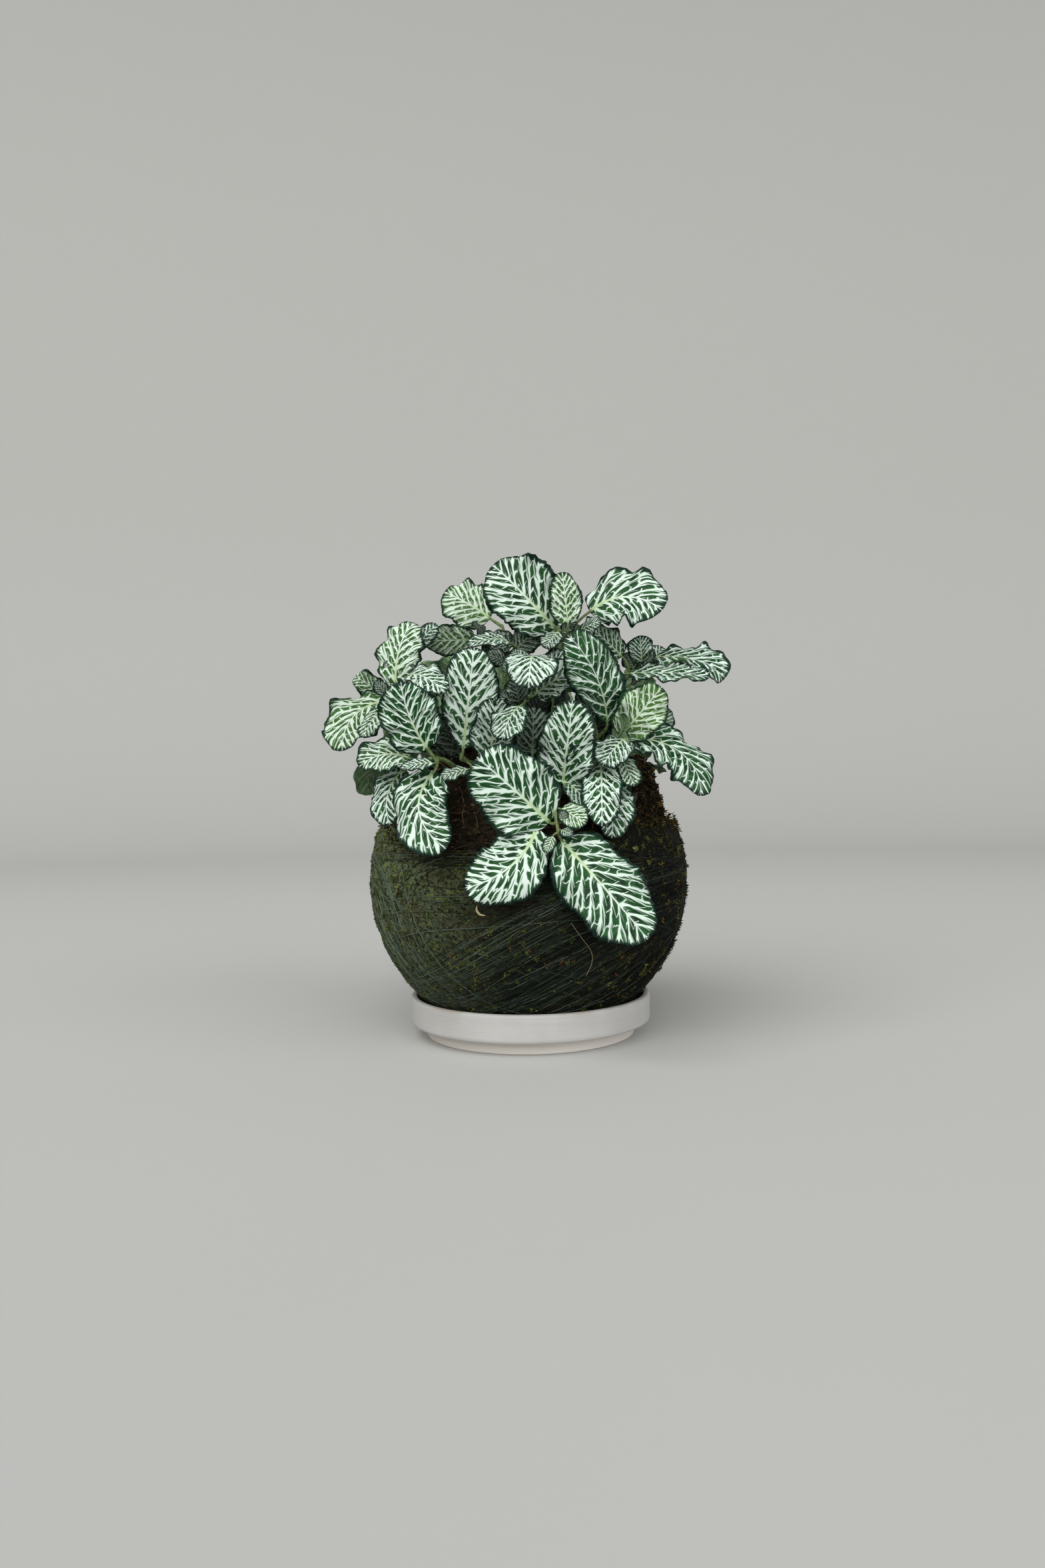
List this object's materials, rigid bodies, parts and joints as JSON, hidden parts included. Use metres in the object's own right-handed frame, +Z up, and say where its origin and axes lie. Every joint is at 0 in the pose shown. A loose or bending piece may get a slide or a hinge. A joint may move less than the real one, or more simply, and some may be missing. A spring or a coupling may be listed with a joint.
{
  "type": "kokedama moss ball plant",
  "caption": "White-veined nerve plant growing from a soil ball that is wrapped in moss, wound with thread and stood in a small pale ceramic saucer.",
  "frame": {"origin": "centre of the saucer's flat underside, on the surface that the plant stands on", "axes": "+Z up through the ball and the plant, -Y towards the front with the large hanging leaf, +X to the right as seen from the front"},
  "size_m": [0.159, 0.1506, 0.1922],
  "materials": {
    "ceramic": "matt off-white ceramic",
    "moss": "dark green moss, fibrous",
    "soil": "damp brown soil with roots",
    "thread": "thin dark green thread",
    "leaf": "satin green leaf with white veins"
  },
  "bodies": {
    "root": {"saucer": "ceramic", "moss_wrap": "moss", "soil_ball": "soil", "binding_thread": "thread", "shoot_far_left": "leaf", "shoot_left_upright": "leaf", "shoot_left_low": "leaf", "shoot_middle_left": "leaf", "shoot_front_low": "leaf", "shoot_front_middle": "leaf", "shoot_centre": "leaf", "shoot_top_left": "leaf", "shoot_top": "leaf", "shoot_middle_right": "leaf", "shoot_right_upright": "leaf", "shoot_right_middle": "leaf", "shoot_back_low": "leaf", "shoot_back_middle": "leaf", "shoot_back_right_low": "leaf", "shoot_back_left": "leaf", "shoot_back_upright": "leaf", "shoot_back_centre": "leaf", "shoot_back_middle_left": "leaf", "shoot_back_side": "leaf", "shoot_back_top_right": "leaf", "shoot_back_top_left": "leaf"}
  },
  "joints": []
}
